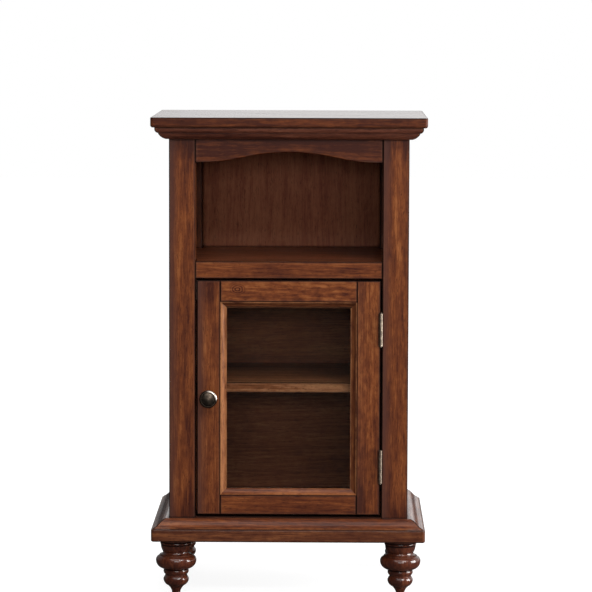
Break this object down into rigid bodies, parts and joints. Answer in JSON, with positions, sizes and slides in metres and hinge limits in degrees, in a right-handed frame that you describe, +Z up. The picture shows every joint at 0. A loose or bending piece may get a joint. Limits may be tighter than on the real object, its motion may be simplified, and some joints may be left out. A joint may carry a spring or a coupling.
{
  "type": "storage side table",
  "caption": "Tall wooden side table with an arched open niche over a glazed hinged door, moulded top and base, and turned feet.",
  "frame": {"origin": "on the floor under the middle of the top board", "axes": "+Z up, the front with the door faces -Y, +X is the hinge side"},
  "size_m": [0.45, 0.35, 0.79],
  "materials": {
    "wood_stain": "semi-gloss red-brown stain",
    "inner_wood": "satin stained",
    "clear_glass": "clear polished",
    "dark_bronze": "oil-rubbed dark",
    "hinge_steel": "satin nickel",
    "zinc_steel": "zinc plated",
    "glide_plastic": "matte",
    "catch_plastic": "matte",
    "magnet_iron": "bare"
  },
  "bodies": {
    "case": {"top_panel": "wood_stain", "cornice_front": "wood_stain", "cornice_left": "wood_stain", "cornice_right": "wood_stain", "front_post_left": "wood_stain", "front_post_right": "wood_stain", "rear_post_left": "wood_stain", "rear_post_right": "wood_stain", "frieze_rail": "wood_stain", "mid_rail": "wood_stain", "side_top_rail_left": "wood_stain", "side_top_rail_right": "wood_stain", "side_bottom_rail_left": "wood_stain", "side_bottom_rail_right": "wood_stain", "side_panel_left": "wood_stain", "side_panel_right": "wood_stain", "niche_floor": "wood_stain", "cabinet_floor": "wood_stain", "inner_shelf": "wood_stain", "base_board": "wood_stain", "base_moulding_front": "wood_stain", "base_moulding_left": "wood_stain", "base_moulding_right": "wood_stain", "foot_front_left": "wood_stain", "foot_front_right": "wood_stain", "foot_rear_left": "wood_stain", "foot_rear_right": "wood_stain", "rear_top_rail": "inner_wood", "back_panel": "inner_wood", "niche_bearer_left": "inner_wood", "niche_bearer_right": "inner_wood", "top_cleat_left": "inner_wood", "top_cleat_right": "inner_wood", "hinge_upper_frame_leaf": "hinge_steel", "hinge_lower_frame_leaf": "hinge_steel", "hinge_upper_pin": "hinge_steel", "hinge_lower_pin": "hinge_steel", "foot_bolts": "zinc_steel", "shelf_pins": "zinc_steel", "foot_glides": "glide_plastic", "catch_housing": "catch_plastic", "catch_magnet": "magnet_iron"},
    "door": {"door_stile_left": "wood_stain", "door_stile_right": "wood_stain", "door_rail_bottom": "wood_stain", "door_rail_top": "wood_stain", "glazing_bevel_left": "wood_stain", "glazing_bevel_right": "wood_stain", "glazing_bevel_bottom": "wood_stain", "glazing_bevel_top": "wood_stain", "glass_bead_left": "wood_stain", "glass_bead_right": "wood_stain", "glass_bead_bottom": "wood_stain", "glass_bead_top": "wood_stain", "glass_pane": "clear_glass", "knob": "dark_bronze", "knob_screw": "zinc_steel", "hinge_upper_door_leaf": "hinge_steel", "hinge_lower_door_leaf": "hinge_steel", "catch_strike": "zinc_steel"}
  },
  "joints": [
    {"name": "door_hinge", "type": "hinge", "parent": "case", "child": "door", "pos_m": [0.1506, -0.1485, 0.32975], "axis": [0, 0, 1], "range_deg": [0, 175]}
  ]
}
